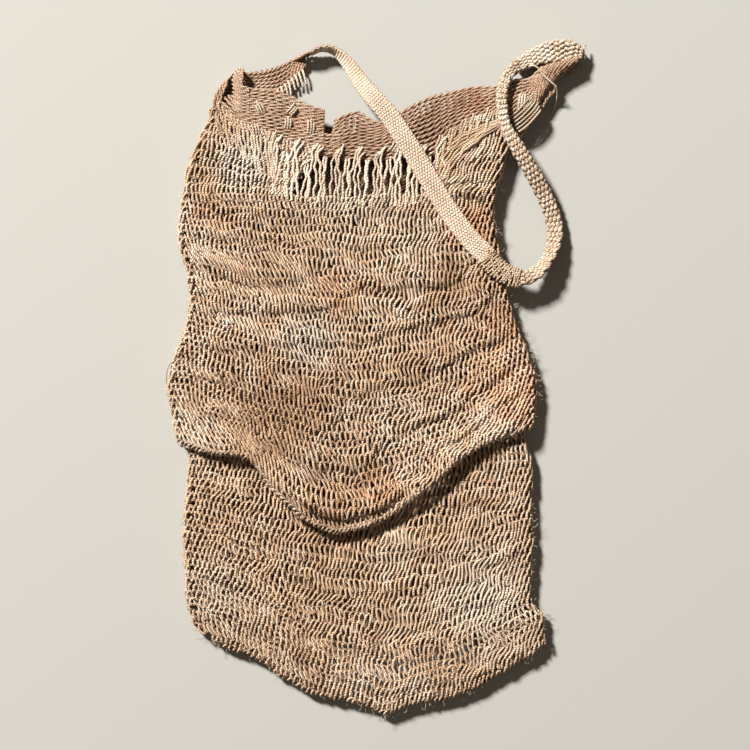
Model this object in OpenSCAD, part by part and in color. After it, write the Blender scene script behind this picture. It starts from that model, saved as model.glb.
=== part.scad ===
// Looped string bag with a twined rim and a flat carrying strap, lying on its back wall.
// Millimetres, +Z up, mouth towards +Y. The origin is on the resting face, at the middle of the plan.

/* [Netting] */
// Thickness of one wall of looped netting
net_t = 2.0; // [1.8:0.1:2.2]
// Width of the turned side and base edges that join the two walls
edge_w = 5.0; // [4:0.5:6]
// Clear height inside the upper bag
inner_h = 9.0; // [8.8:0.1:9.6]

/* [Fold] */
// Height of the slumped roll above the front wall
roll_h = 7.0; // [4:0.5:9]
// Width of the roll from its lip back to the flat front wall
roll_w = 28.0; // [22:1:32]
// Width of the pleat that is hidden behind the lip
pleat_reach = 46.0; // [40:1:48]

/* [Rim] */
// Thickness of the front rim band
rim_t = 4.0; // [3:0.2:4.2]
// Thickness of the back rim band
back_rim_t = 3.6; // [2.6:0.2:3.8]
// Thickness of the gathered horn at the right end of the rim
horn_t = 12.0; // [10:0.5:12.5]
// Diameter of one pale warp cord
cord_d = 2.0; // [1.6:0.1:2.4]
// Distance between neighbouring header cords
cord_pitch = 4.2; // [3.6:0.1:5]

/* [Strap] */
// Width of the long, finely woven strap
long_w = 15.0; // [12:0.5:16]
// Width of the short, coarser strap
short_w = 12.0; // [10:0.5:13]
// Thickness of the strap
strap_t = 2.4; // [2:0.1:2.6]

/* [Hidden] */

gap = 0.4;                              // running gap between pieces that move past each other
front_z = net_t + inner_h;              // underside of the upper front wall
top_z = front_z + net_t;                // upper face of the upper front wall
low_front_z = front_z - gap - net_t;    // underside of the lower front wall
pleat_z = net_t + gap;                  // underside of the hidden pleat
pleat_t = 1.8;                          // thickness of the hidden pleat
fold_y = -50;                           // line where the lower back wall leaves the upper one
hinge_y = 126;                          // line below the header about which the front lip lifts
rim_z = top_z + 0.6 - rim_t;            // underside of the front rim
far = 400;                              // larger than the bag, for cutting

// Edges of the bag in plan, x and y, as it lies.
left_upper = [[-116, 184], [-121, 172], [-132, 146], [-137, 120], [-139, 94], [-133, 79], [-131, 60],
              [-135, 34], [-143, 10], [-146.5, -8], [-143, -27], [-140, -42], [-131, -50]];
right_upper = [[106, -50], [107, -40], [111, -27], [113, -5], [109, 18], [101, 40], [93, 66],
               [89, 86], [83, 111], [84, 130], [92.5, 155], [92.5, 178]];
left_lower = [[-131, -50], [-132, -67], [-134, -87], [-135, -117], [-134, -147], [-133, -160],
              [-126, -179], [-118, -186]];
right_lower = [[121, -190], [117, -184], [118, -167], [111, -155], [109, -147], [110, -119],
               [109, -87], [110, -60], [106, -50]];
base_line = [[-118, -186], [-98, -193], [-84, -199], [-68, -209], [-54, -218], [-34, -225],
             [-10, -230], [6, -237.5], [22, -232], [47, -227], [67, -220], [89, -207], [111, -195],
             [121, -190]];
// Lower edge of the front rim, and the lip of the slumped fold, from left to right.
rim_low = [[-90, 169.5], [-64, 160], [-38, 156], [-17, 152], [17, 154], [41, 157], [53, 168],
           [69, 176], [88, 182]];
lip_line = [[-139, -45], [-122, -50], [-104, -53], [-88, -56], [-77, -71], [-62, -87], [-46, -101],
            [-29, -107.5], [-12, -105.5], [6, -98.5], [22, -87], [43, -71], [63, -53], [83, -43],
            [98, -38.5], [106, -34]];
// Strap routes: x, y, z, share of the full width, tilt of the strap from lying flat.
long_route = [[-46, 228.2, 7.4, 0.6, 84], [-38, 231.5, 8, 0.66, 78], [-28.5, 229.5, 9, 0.72, 62],
              [-19, 219.5, 11, 0.76, 36], [-10, 206, 13.8, 0.82, 14], [-1, 195, 16.4, 0.9, 4],
              [8, 185, 16.6, 0.96, 0], [17, 171.5, 16.4, 1, 0], [27, 156, 16, 1, 0],
              [39, 136, 15.2, 1, 0], [51, 116.5, 14.8, 1, 0], [65, 98, 14.8, 1, 0], [79, 83.5, 14.8, 1, 0]];
short_route = [[98.9, 69.5, 14.6, 0.95, 0], [106, 70.5, 13.6, 0.95, -12], [113.5, 75, 11.8, 1, -35],
               [120, 82.5, 9.4, 1, -48], [124.3, 92, 7.4, 1, -34], [126, 103, 6.2, 1, -12],
               [124.6, 113, 6.4, 1, 0], [120.8, 123, 8, 1, 0], [113, 138, 11.6, 1, 0],
               [103, 154, 15.6, 0.96, 0], [95, 167, 17.2, 0.86, 0], [90, 177, 17, 0.74, 0],
               [87.8, 190, 16.8, 0.72, 0], [88.2, 201, 16.2, 0.72, 0], [91.4, 210.5, 14.6, 0.74, 8],
               [96.4, 216.8, 11.6, 0.8, 12], [101.4, 220.4, 9.6, 0.86, 14]];
thread_route = [[107, 218, 13.4], [110, 218.5, 14.6], [113.5, 216.5, 14.6], [116, 213, 13.8],
                [119, 210, 13.6], [122.5, 207, 13.6], [126, 204, 12.4], [127.4, 199.5, 8],
                [126.8, 194, 3], [124.6, 188, 0.8]];

// Catmull-Rom curve through a list of points of any length of vector.
function spline(a, b, c, d, t) =
    0.5 * (2 * b + (c - a) * t + (2 * a - 5 * b + 4 * c - d) * t * t + (3 * b - a - 3 * c + d) * t * t * t);
function smooth(pts, steps = 3) =
    let (n = len(pts) - 1)
    [for (i = [0 : n - 1], s = [0 : steps - 1])
        spline(pts[max(i - 1, 0)], pts[i], pts[i + 1], pts[min(i + 2, n)], s / steps), pts[n]];
function unit(v) = v / norm(v);
function xyz(p) = [p[0], p[1], p[2]];

// A flat strap or a round cord: rings of eight points swept along a smooth route.
STRAP_RING = [[1, 0.4], [0.85, 1], [-0.85, 1], [-1, 0.4], [-1, -0.4], [-0.85, -1], [0.85, -1], [1, -0.4]];
CORD_RING = [for (i = [0 : 7]) [cos(45 * i + 22.5), sin(45 * i + 22.5)]];
module sweep(route, ring, width, thick) {
    sides = len(ring);
    n = len(route);
    points = [for (i = [0 : n - 1])
        let (along = unit(xyz(route[min(i + 1, n - 1)]) - xyz(route[max(i - 1, 0)])),
             across = unit([-along[1], along[0], 0]),
             up = cross(along, across),
             tilt = len(route[i]) > 3 ? route[i][4] : 0,
             share = len(route[i]) > 3 ? route[i][3] : 1,
             side = across * cos(tilt) + up * sin(tilt),
             face = up * cos(tilt) - across * sin(tilt))
        for (p = ring) xyz(route[i]) + side * p[0] * width * share / 2 + face * p[1] * thick / 2];
    faces = concat(
        [for (i = [0 : n - 2], j = [0 : sides - 1])
            let (a = i * sides + j, b = i * sides + (j + 1) % sides)
            each [[a, a + sides, b], [b, a + sides, b + sides]]],
        [[for (j = [0 : sides - 1]) j]],
        [[for (j = [sides - 1 : -1 : 0]) (n - 1) * sides + j]]);
    polyhedron(points, faces);
}

// Plans of the two halves of the bag, and a band of the plan on one side of a line in y.
module upper_plan() {
    polygon(concat(smooth(left_upper), smooth(right_upper),
                   [for (i = [len(rim_low) - 1 : -1 : 0]) rim_low[i]]));
}
module lower_plan() { polygon(concat(smooth(left_lower), smooth(base_line), smooth(right_lower))); }
module below(y) { translate([-far / 2, y - far]) square(far); }
module above(y) { translate([-far / 2, y]) square(far); }
module slab(z, height) { translate([0, 0, z]) linear_extrude(height) children(); }
// The strip of a plan within edge_w of a line of edge points, on its left (1) or right (-1).
module edge_strip(line, side) {
    inner = [for (p = line) [p[0] + side * edge_w, p[1]]];
    polygon(concat(line, [for (i = [len(inner) - 1 : -1 : 0]) inner[i]]));
}

// Netting walls of the upper bag.
module net_back_upper() {
    color("burlywood") slab(0, net_t) upper_plan();
}
module net_front_upper() {
    lip = smooth(lip_line, 2);
    behind = [for (p = lip) [p[0], p[1] + roll_w + gap]];
    color("burlywood") slab(front_z, net_t) difference() {
        intersection() {
            upper_plan();
            below(hinge_y - gap);
        }
        polygon(concat([[-far, behind[0][1]]], behind, [[far, behind[len(behind) - 1][1]], [far, -far],
                       [-far, -far]]));
    }
}
module side_upper(line, side, top_y) {
    color("tan") {
        slab(net_t, inner_h) intersection() {
            edge_strip(line, side);
            below(hinge_y - gap);
            above(-28);
        }
        slab(net_t, inner_h - gap) intersection() {
            edge_strip(line, side);
            above(hinge_y - gap);
            below(top_y);
        }
    }
}
module net_side_left_upper() { side_upper(smooth(left_upper), 1, 178); }
module net_side_right_upper() { side_upper(smooth(right_upper), -1, 176); }

// The slumped fold: a crescent whose section rises from the lip to a ridge and falls to the wall.
module net_fold_roll() {
    lip = smooth(lip_line, 2);
    n = len(lip);
    points = [for (i = [0 : n - 1])
        let (swell = roll_h * pow(sin(180 * (i + 1.5) / (n + 2)), 0.6))
        for (p = [[1.5, front_z], [0, top_z - 0.4], [1.5, top_z + 0.26 * swell], [5, top_z + 0.62 * swell],
                  [9, top_z + 0.88 * swell], [13, top_z + swell], [18, top_z + 0.74 * swell],
                  [23, top_z + 0.24 * swell], [roll_w, top_z], [roll_w, front_z]])
            [lip[i][0], lip[i][1] + p[0], p[1]]];
    sides = 10;
    faces = concat(
        [for (i = [0 : n - 2], j = [0 : sides - 1])
            let (a = i * sides + j, b = i * sides + (j + 1) % sides)
            each [[a, b, a + sides], [b, b + sides, a + sides]]],
        [[for (j = [sides - 1 : -1 : 0]) j]],
        [[for (j = [0 : sides - 1]) (n - 1) * sides + j]]);
    color("peru") polyhedron(points, faces);
}

// Netting walls of the lower bag, whose top end is tucked up inside the fold.
module net_back_lower() {
    color("burlywood") slab(0, net_t) intersection() {
        lower_plan();
        below(fold_y - gap);
    }
}
module tuck_plan() {
    translate([-130, fold_y - gap]) square([234, pleat_reach]);
}
module net_front_lower() {
    color("tan") slab(low_front_z, net_t) union() {
        intersection() {
            lower_plan();
            below(fold_y - gap);
        }
        tuck_plan();
    }
}
module net_pleat_back() {
    inset = edge_w + 1;
    color("peru") {
        slab(pleat_z, pleat_t) translate([-130 + inset, fold_y - gap])
            square([234 - 2 * inset, pleat_reach]);
        slab(net_t, pleat_t + gap) translate([-130 + inset, fold_y - gap - 10])
            square([234 - 2 * inset, 10]);
    }
}
module side_lower(line, side, tuck_x) {
    color("tan") {
        slab(net_t, low_front_z - net_t) intersection() {
            edge_strip(line, side);
            below(fold_y - gap);
            above(-181);
        }
        slab(pleat_z, low_front_z - pleat_z) translate([tuck_x, fold_y - gap])
            square([edge_w, pleat_reach]);
    }
}
module net_side_left_lower() { side_lower(smooth(left_lower), 1, -130); }
module net_side_right_lower() { side_lower(smooth(right_lower), -1, 104 - edge_w); }
module net_base_edge() {
    line = smooth(base_line);
    inner = [for (p = line) [p[0], p[1] + edge_w]];
    color("tan") slab(net_t, low_front_z - net_t)
        polygon(concat(line, [for (i = [len(inner) - 1 : -1 : 0]) inner[i]]));
}

// Header between the netting and the front rim: long pale cords, closer together at both sides.
module header_plan(x0, x1) {
    intersection() {
        upper_plan();
        above(hinge_y + gap);
        translate([x0, 0]) square([x1 - x0, far]);
        polygon(concat([for (p = rim_low) [p[0], p[1] - gap]], [[88, 177], [92, 177], [92, 100],
                       [-150, 100], [-150, 146], [-121, 170], [-112, 179]]));
    }
}
module header_left() { color("wheat") slab(front_z, net_t) header_plan(-150, -72); }
module header_right() { color("wheat") slab(front_z, net_t) header_plan(46, 100); }
module header_cords() {
    first = -70;
    count = floor((44 - first) / cord_pitch);
    color("antiquewhite") {
        slab(front_z, net_t) intersection() {
            header_plan(-72 + gap, 46 - gap);
            for (i = [0 : count])
                translate([first + i * cord_pitch, hinge_y]) rotate(-3 + 5 * sin(40 * i)) square([cord_d, 60]);
        }
        // The first row of loops below the cords, which ties them together.
        slab(front_z, net_t) intersection() {
            header_plan(-72 + gap, 46 - gap);
            below(hinge_y + 3);
        }
    }
}

// Twined rim bands.
module rim_front_left() {
    color("rosybrown") slab(rim_z, rim_t)
        polygon([[-89.4, 203.6], [-70, 202], [-57, 197], [-40, 190], [-35.5, 186], [-36.5, 156],
                 [-64, 160], [-89.4, 169.5]]);
}
module rim_front_right() {
    color("rosybrown") slab(rim_z, rim_t)
        polygon([[-29, 180.5], [-13, 187.5], [-6, 183.5], [3, 179.5], [12, 184.5], [22, 190.5],
                 [38, 198], [53, 201.5], [88, 206], [88, 182], [69, 176], [53, 168], [41, 157],
                 [17, 154], [-17, 152], [-34, 155.6]]);
}
// Short groups of three warp cords that pass over the outside of the band.
module rim_floats() {
    places = [[-82, 168, -14], [-66, 163, 12], [-50, 159, -12], [-12, 154, 8], [56, 173, -34],
              [74, 180, -50]];
    color("antiquewhite") for (p = places)
        translate([p[0], p[1], rim_z + rim_t]) rotate(p[2])
            for (k = [-1 : 1]) translate([k * 2.2 - 0.8, 0, 0]) cube([1.6, 11, 0.8]);
}
module rim_corner() {
    color("rosybrown") slab(0, rim_z + rim_t) difference() {
        polygon([[-90, 204], [-92, 208], [-97.5, 217.5], [-100, 215], [-104, 209], [-110, 202],
                 [-113.5, 196], [-114.5, 189], [-115.8, 184.6], [-90, 170]]);
        polygon([[-106, 204], [-101, 207.5], [-101.5, 199]]);
    }
}
// The band goes on behind the mouth, lower than the front band's top edge.
module rim_back() {
    color("tan") slab(0, back_rim_t)
        polygon(concat([[-89.4, 198], [-60, 190], [-35, 178], [0, 172], [40, 190], [88, 198]],
                       [for (i = [len(rim_low) - 1 : -1 : 1]) rim_low[i]], [[-89.4, 169.5]]));
}
module rim_back_flap() {
    color("rosybrown") slab(0, back_rim_t)
        polygon([[-89.4, 216.6], [-82, 217.5], [-70, 220.5], [-50, 228], [-50, 218.5], [-57, 208.5],
                 [-60, 202], [-60, 190.6], [-89.4, 198.6]]);
}
module rim_flap_fringe() {
    color("antiquewhite") for (i = [0 : 5])
        translate([-67 + 3.2 * i, 199 + 2.6 * i, back_rim_t]) rotate(-24 + 6 * i) cube([1.5, 9, 1.2]);
}

// The right end of the rim, gathered and pulled out to a horn.
module rim_horn() {
    color("rosybrown") slab(0, horn_t)
        polygon([[94, 181], [94.5, 203], [98, 206], [109, 207.5], [112.5, 213], [115, 219], [118, 222],
                 [140, 222], [135, 214], [127.5, 208.5], [123, 202], [117, 190.5], [111.5, 178.5],
                 [105, 168], [99, 161], [94, 158]]);
}
module horn_tip() {
    color("tan") slab(0, horn_t)
        polygon([[106, 216.5], [106, 228], [113, 232.5], [121, 235], [129, 238], [137, 237], [142, 234.5],
                 [146, 230], [143, 224], [140, 222.2], [117.6, 222.2], [114, 219], [111, 217.5]]);
}
module horn_cords() {
    color("antiquewhite") for (i = [0 : 4])
        translate([96 + 2.4 * i, 181 - 2.8 * i, horn_t]) rotate(-52 + 2 * i) cube([1.6, 17 - 1.5 * i, 1]);
}
module horn_fray() {
    color("ivory") for (p = [[136.5, 212.5, 4, -35, 14], [146.7, 225, 6, 2, 9], [145.2, 221.5, 5, -20, 6]])
        translate([p[0], p[1], p[2]]) rotate(p[3]) cube([1, p[4], 1]);
}

// Carrying strap: a long part, a short part and the sewn overlap that joins them.
module strap_root_seam() {
    color("tan") slab(0, 11) polygon([[-50, 218.5], [-47.4, 219.5], [-47.4, 230], [-50, 229]]);
}
module strap_long() { color("bisque") sweep(smooth(long_route), STRAP_RING, long_w, strap_t); }
module strap_short() { color("tan") sweep(smooth(short_route), STRAP_RING, short_w, strap_t); }
module strap_splice() {
    color("peru") slab(top_z + 0.6, strap_t + 1.2)
        polygon([[74.8, 77.4], [88, 64.5], [97.9, 62.6], [97.9, 76.8], [91, 81.5], [85, 88.2]]);
}
module splice_stitches() {
    color("wheat") for (i = [0 : 3])
        translate([80.5 + 3.6 * i, 75.5 - 2.6 * i, top_z + 1.8 + strap_t]) rotate(-52 + 8 * i)
            cube([1.4, 11, 0.8]);
}
module loose_thread() { color("wheat") sweep(smooth(thread_route, 2), CORD_RING, 1.2, 1.2); }

net_back_upper();
net_front_upper();
net_side_left_upper();
net_side_right_upper();
net_fold_roll();
net_back_lower();
net_front_lower();
net_pleat_back();
net_side_left_lower();
net_side_right_lower();
net_base_edge();
header_left();
header_cords();
header_right();
rim_front_left();
rim_front_right();
rim_floats();
rim_corner();
rim_back();
rim_back_flap();
rim_flap_fringe();
rim_horn();
horn_tip();
horn_cords();
horn_fray();
strap_root_seam();
strap_long();
strap_splice();
splice_stitches();
strap_short();
loose_thread();
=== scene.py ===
# Looped string bag, lying flat on its back wall: netting, slumped fold, header, twined rim, horn, strap.
import bpy
import numpy as np
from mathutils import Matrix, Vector


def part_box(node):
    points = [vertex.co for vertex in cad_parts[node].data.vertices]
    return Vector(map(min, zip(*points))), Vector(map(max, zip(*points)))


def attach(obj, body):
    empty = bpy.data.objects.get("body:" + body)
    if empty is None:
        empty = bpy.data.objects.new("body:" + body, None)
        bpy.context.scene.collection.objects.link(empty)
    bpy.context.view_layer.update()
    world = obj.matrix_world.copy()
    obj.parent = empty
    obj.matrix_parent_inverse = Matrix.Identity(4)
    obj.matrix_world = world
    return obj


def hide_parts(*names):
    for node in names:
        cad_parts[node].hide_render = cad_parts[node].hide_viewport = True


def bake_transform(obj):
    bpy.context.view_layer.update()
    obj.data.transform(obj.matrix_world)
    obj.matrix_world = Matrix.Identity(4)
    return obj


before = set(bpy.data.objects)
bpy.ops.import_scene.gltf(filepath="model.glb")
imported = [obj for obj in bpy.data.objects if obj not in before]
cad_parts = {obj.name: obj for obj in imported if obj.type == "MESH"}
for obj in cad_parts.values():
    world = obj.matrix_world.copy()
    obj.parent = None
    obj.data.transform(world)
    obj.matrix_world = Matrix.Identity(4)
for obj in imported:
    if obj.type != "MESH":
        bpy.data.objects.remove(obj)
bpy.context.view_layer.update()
MM = 0.001

# ---- Camera -------------------------------------------------------------------------------------
# The bag is seen from straight above, with its mouth away from the viewer. The lens is long, so the
# fold and the strap hardly lean outwards.
VIEW_WIDTH = 525 * MM
VIEW_CENTRE = (-0.7 * MM, 2.1 * MM)
BAG_TOP = 13 * MM
LENS = 85
SENSOR = 36
camera_data = bpy.data.cameras.new("overhead camera")
camera_data.lens = LENS
camera_data.sensor_width = SENSOR
camera = bpy.data.objects.new("overhead camera", camera_data)
camera.location = (*VIEW_CENTRE, BAG_TOP + VIEW_WIDTH * LENS / SENSOR)
bpy.context.scene.collection.objects.link(camera)
bpy.context.scene.camera = camera

# ---- Long strap ---------------------------------------------------------------------------------
# The fine half of the carrying strap: a flat plait of thin bast string, 15 mm wide. It leaves the
# back rim on its edge, turns flat over the front rim and runs down across the netting.
LONG_ROUTE = [(-46, 228.2, 7.4, 0.6, 84), (-38, 231.5, 8, 0.66, 78), (-28.5, 229.5, 9, 0.72, 62),
              (-19, 219.5, 11, 0.76, 36), (-10, 206, 13.8, 0.82, 14), (-1, 195, 16.4, 0.9, 4),
              (8, 185, 16.6, 0.96, 0), (17, 171.5, 16.4, 1, 0), (27, 156, 16, 1, 0),
              (39, 136, 15.2, 1, 0), (51, 116.5, 14.8, 1, 0), (65, 98, 14.8, 1, 0),
              (79, 83.5, 14.8, 1, 0)]
LONG_WIDTH = 15
TAU = 2 * np.pi


def through(points, steps):
    """A smooth line through points of any number of values."""
    p = np.array(points, float)
    ends = len(p) - 1
    line = []
    for i in range(ends):
        a, b, c, d = p[max(i - 1, 0)], p[i], p[i + 1], p[min(i + 2, ends)]
        for t in np.arange(steps) / steps:
            line.append(0.5 * (2 * b + (c - a) * t + (2 * a - 5 * b + 4 * c - d) * t * t
                               + (3 * b - a - 3 * c + d) * t ** 3))
    return np.array(line + [p[-1]])


def unit(v):
    """Arrows of the same directions, one long each."""
    return v / np.maximum(np.linalg.norm(v, axis=-1, keepdims=True), 1e-9)


def distance_along(line):
    """How far each point lies along a line."""
    steps = np.linalg.norm(np.diff(line, axis=0), axis=1)
    return np.concatenate([[0], np.cumsum(steps)])


def at_places(at, s, line):
    """A line's values at other distances along it."""
    return np.stack([np.interp(at, s, column) for column in line.T], 1)


def even(line, step):
    """The same line with its points a step apart."""
    s = distance_along(line[:, :3])
    count = max(int(round(s[-1] / step)), 3)
    return at_places(np.linspace(0, s[-1], count + 1), s, line)


def string_tube(path, facing, thick, sides=5, flat=1.0, depth=None):
    """A length of string in millimetres, closed at both ends: its points, quads, map and painted shade for
    each point, lighter on top and where it lies high among its neighbours, darker underneath and low down."""
    path = np.concatenate([path[:1], path, path[-1:]])
    facing = np.concatenate([facing[:1], facing, facing[-1:]])
    n = len(path)
    radius = np.full(n, thick / 2) if np.isscalar(thick) else np.pad(thick / 2, 1)
    radius[0] = radius[-1] = 0.01
    along = np.gradient(path, axis=0)
    along[0], along[-1] = along[1], along[-2]
    along = unit(along)
    side = unit(np.cross(along, facing))
    up = np.cross(side, along)
    angle = np.arange(sides) * TAU / sides
    ring = (side[:, None] * np.cos(angle)[None, :, None]
            + up[:, None] * np.sin(angle)[None, :, None] * flat)
    points = (path[:, None] + ring * radius[:, None, None]).reshape(-1, 3)
    i = np.arange(n - 1)[:, None] * sides
    j = np.arange(sides)[None]
    quads = np.stack([i + j, i + (j + 1) % sides, i + sides + (j + 1) % sides, i + sides + j], -1)
    s = distance_along(path)
    run = np.stack([s[:-1], s[:-1], s[1:], s[1:]], -1)[:, None].repeat(sides, 1)
    turn = (np.stack([j[0], j[0] + 1, j[0] + 1, j[0]], -1) / sides)[None].repeat(n - 1, 0)
    if depth is None:
        depth = np.ones(n)
    else:
        depth = np.concatenate([depth[:1], depth, depth[-1:]])
    # Painted light and shade: the top of every string is lighter and its underside darker.
    tops = depth[:, None] * 0.7 + 0.15 * (1 + np.sin(angle))[None]
    return points, quads.reshape(-1, 4), np.stack([run, turn], -1).reshape(-1, 2), tops.ravel()


def piece_of(name, tubes, material, body, nodes=()):
    """One piece made of many lengths of string, which stands for the named solids. A piece that bends
    between two bodies is given none here."""
    start = np.cumsum([0] + [len(t[0]) for t in tubes[:-1]])
    points = np.concatenate([t[0] for t in tubes]) * MM
    quads = np.concatenate([t[1] + o for t, o in zip(tubes, start)])
    mesh = bpy.data.meshes.new(name)
    mesh.vertices.add(len(points))
    mesh.vertices.foreach_set("co", points.ravel())
    mesh.loops.add(quads.size)
    mesh.loops.foreach_set("vertex_index", quads.ravel())
    mesh.polygons.add(len(quads))
    mesh.polygons.foreach_set("loop_start", np.arange(len(quads)) * 4)
    mesh.uv_layers.new(name="string").data.foreach_set("uv", np.concatenate([t[2] for t in tubes]).ravel())
    # The lie value carries the painted shade and highlight of each point, with some random tone.
    lie = mesh.attributes.new("lie", "FLOAT", "POINT")
    lie.data.foreach_set("value", np.concatenate([t[3] for t in tubes]))
    mesh.update()
    mesh.polygons.foreach_set("use_smooth", np.ones(len(quads), bool))
    mesh.materials.append(material)
    piece = bpy.data.objects.new(name, mesh)
    bpy.context.scene.collection.objects.link(piece)
    if body:
        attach(piece, body)
    if nodes:
        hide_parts(*nodes)
    return piece


def strap_frame(route, step):
    """Centre line of a strap with the directions across it and out of its face, and its width share."""
    line = even(through(route, 8), step)
    centre = line[:, :3]
    along = unit(np.gradient(centre, axis=0))
    level = unit(np.stack([-along[:, 1], along[:, 0], 0 * along[:, 0]], 1))
    rise = np.cross(along, level)
    tilt = np.radians(line[:, 4])[:, None]
    across = level * np.cos(tilt) + rise * np.sin(tilt)
    face = rise * np.cos(tilt) - level * np.sin(tilt)
    return centre, across, face, line[:, 3]


def plait(route, width, strings, slope, thick, step, flat=0.8, seed=1):
    """Flat plait: every string runs slantwise from edge to edge and back, over one and under one."""
    centre, across, face, share = strap_frame(route, step)
    s = distance_along(centre)
    turn = 2 * width / np.tan(np.radians(slope))
    chance = np.random.default_rng(seed)
    tubes = []
    for k in range(strings):
        phase = (s / turn + k / strings) % 1
        zigzag = 1 - 4 * np.abs(phase - 0.5)
        way = np.tanh(6 * np.sin(TAU * phase))
        reach = (width * share - thick) / 2
        weave = 0.42 * thick * way * np.cos(TAU * s * strings / turn)
        # The strings crowd a little at the edges, where they turn back.
        crowd = np.sin(zigzag * np.pi / 2) * 0.25 + zigzag * 0.75
        size = thick * (1 + 0.08 * np.sin(s / 3 + chance.uniform(0, TAU))) * (0.75 + 0.25 * share)
        path = centre + across * (crowd * reach)[:, None] + face * weave[:, None]
        # Painted shade: each string is darker where it passes under the others.
        tubes.append(string_tube(path, face, size, 6, flat, (weave / thick + 0.42) / 0.84))
    return tubes


def linear(code):
    """sRGB hex colour as linear red, green, blue, alpha."""
    parts = np.array([int(code[i:i + 2], 16) / 255 for i in (1, 3, 5)])
    return (*np.where(parts <= 0.04045, parts / 12.92, ((parts + 0.055) / 1.055) ** 2.4), 1)


def node(tree, kind, settings=(), **inputs):
    """Adds a node, sets it up and feeds its inputs; an underscore stands for a space."""
    made = tree.nodes.new(kind)
    for key, value in dict(settings).items():
        setattr(made, key, value)
    for key, value in inputs.items():
        socket = made.inputs[int(key[1:]) if key[0] == "_" else key.replace("_", " ")]
        if isinstance(value, bpy.types.NodeSocket):
            tree.links.new(value, socket)
        else:
            socket.default_value = value
    return made


BROAD_PATCH = 62.5
SMALL_PATCH = 11.765
FIBRE_FLECK = 1.111


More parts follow.
